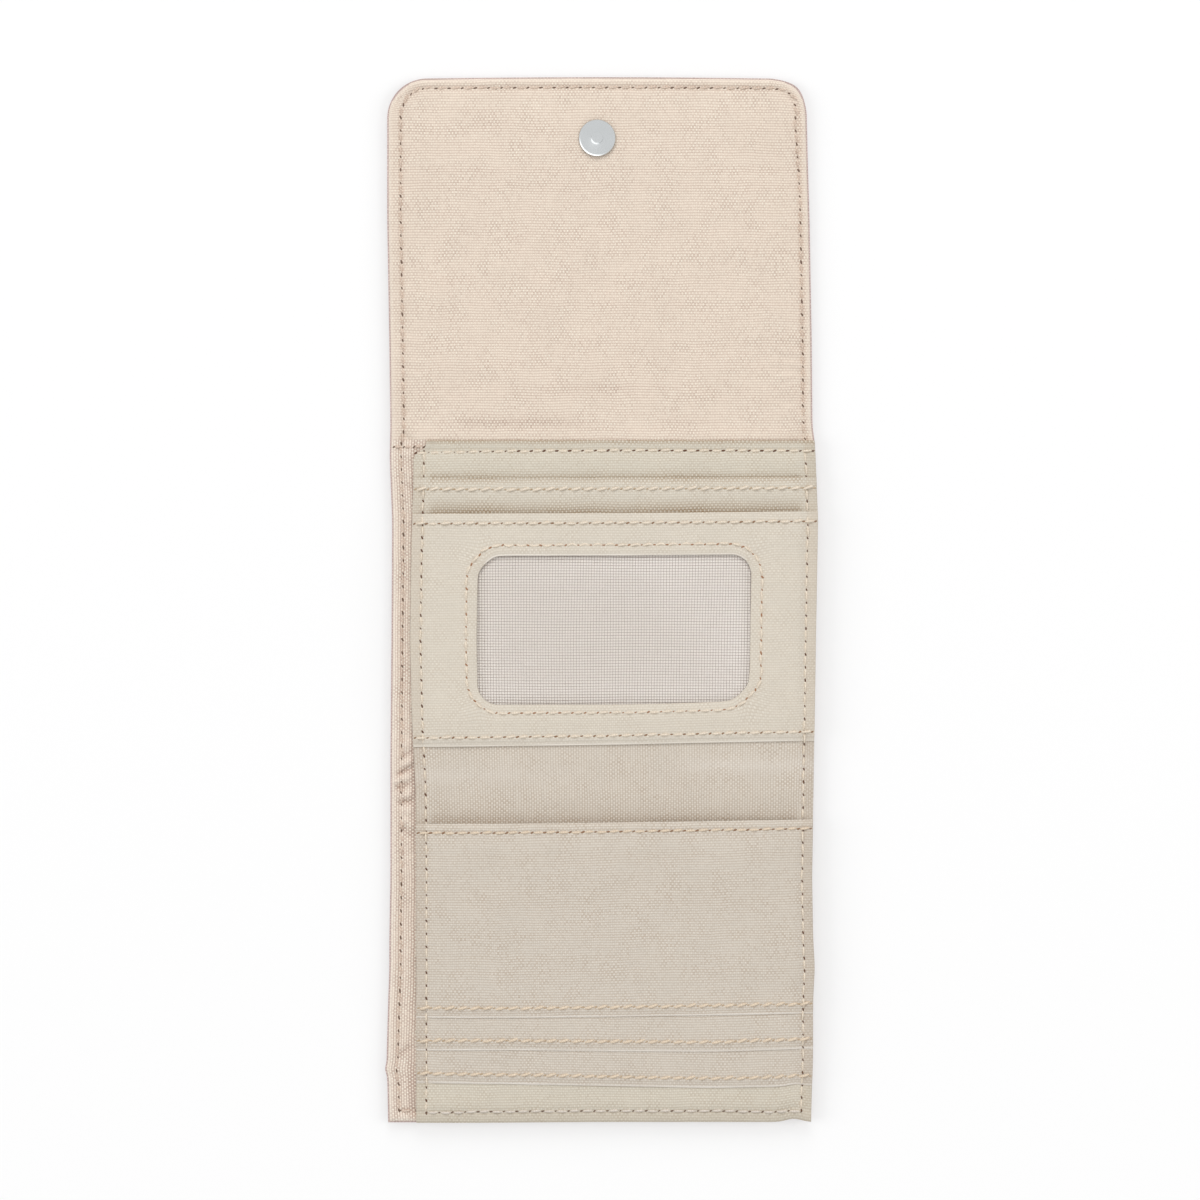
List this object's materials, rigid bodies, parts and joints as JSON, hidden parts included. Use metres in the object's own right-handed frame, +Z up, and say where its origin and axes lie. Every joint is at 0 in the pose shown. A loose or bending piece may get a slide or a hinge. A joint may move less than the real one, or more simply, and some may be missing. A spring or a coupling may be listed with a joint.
{
  "type": "tri-fold fabric wallet",
  "caption": "Fabric wallet lying open in three panels, with a window pocket, card slots, a full-length banknote compartment and a flap closed by a magnetic snap.",
  "frame": {"origin": "under the centre of the open wallet's bounding box, at the height of the surface that it lies on", "axes": "+X to the right across the panels seen from the inside, +Y along the wallet towards the flap's free edge, +Z up out of the open inside"},
  "size_m": [0.12, 0.2948, 0.0098],
  "materials": {
    "peach_cloth": "plain-woven synthetic cloth with a soft sheen",
    "taupe_lining": "fine plain-woven lining with a light sheen",
    "window_mesh": "fine open net",
    "padding": "thin soft padding",
    "nickel": "satin nickel plate",
    "magnet": "dark sintered magnet"
  },
  "bodies": {
    "middle_panel": {"middle_outer_fabric": "peach_cloth", "middle_foam": "padding", "middle_facing": "peach_cloth", "middle_banknote_lining": "taupe_lining", "rear_card_pocket": "taupe_lining", "id_window_mesh": "window_mesh", "id_pocket_front": "taupe_lining"},
    "flap_spine": {"flap_spine_outer_fabric": "peach_cloth", "flap_spine_foam": "padding", "flap_spine_facing": "peach_cloth"},
    "flap": {"flap_outer_fabric": "peach_cloth", "flap_foam": "padding", "flap_facing": "peach_cloth", "snap_stud": "nickel", "snap_stud_prongs": "nickel", "snap_stud_washer": "nickel"},
    "fold_spine": {"fold_spine_outer_fabric": "peach_cloth", "fold_spine_foam": "padding", "fold_spine_facing": "peach_cloth", "fold_spine_lining": "taupe_lining"},
    "lower_panel": {"lower_outer_fabric": "peach_cloth", "lower_foam": "padding", "lower_facing": "peach_cloth", "lower_banknote_lining": "taupe_lining", "card_pocket_back": "taupe_lining", "card_pocket_centre": "taupe_lining", "card_pocket_front": "taupe_lining", "snap_socket_case": "nickel", "snap_magnet": "magnet", "snap_socket_base": "nickel", "snap_socket_washer": "nickel"}
  },
  "joints": [
    {"name": "flap_spine_fold", "type": "hinge", "parent": "middle_panel", "child": "flap_spine", "pos_m": [0, 0.0465, 0.004], "axis": [1, 0, 0], "range_deg": [0, 90]},
    {"name": "flap_fold", "type": "hinge", "parent": "flap_spine", "child": "flap", "pos_m": [0, 0.0631, 0.004], "axis": [1, 0, 0], "range_deg": [0, 90]},
    {"name": "fold_spine_fold", "type": "hinge", "parent": "middle_panel", "child": "fold_spine", "pos_m": [0, -0.0475, 0.0054], "axis": [-1, 0, 0], "range_deg": [0, 90]},
    {"name": "lower_panel_fold", "type": "hinge", "parent": "fold_spine", "child": "lower_panel", "pos_m": [0, -0.0555, 0.0054], "axis": [-1, 0, 0], "range_deg": [0, 90]}
  ],
  "couplings": [
    {"joint": "flap_fold", "follows": "flap_spine_fold", "ratio": 1},
    {"joint": "lower_panel_fold", "follows": "fold_spine_fold", "ratio": 1}
  ]
}
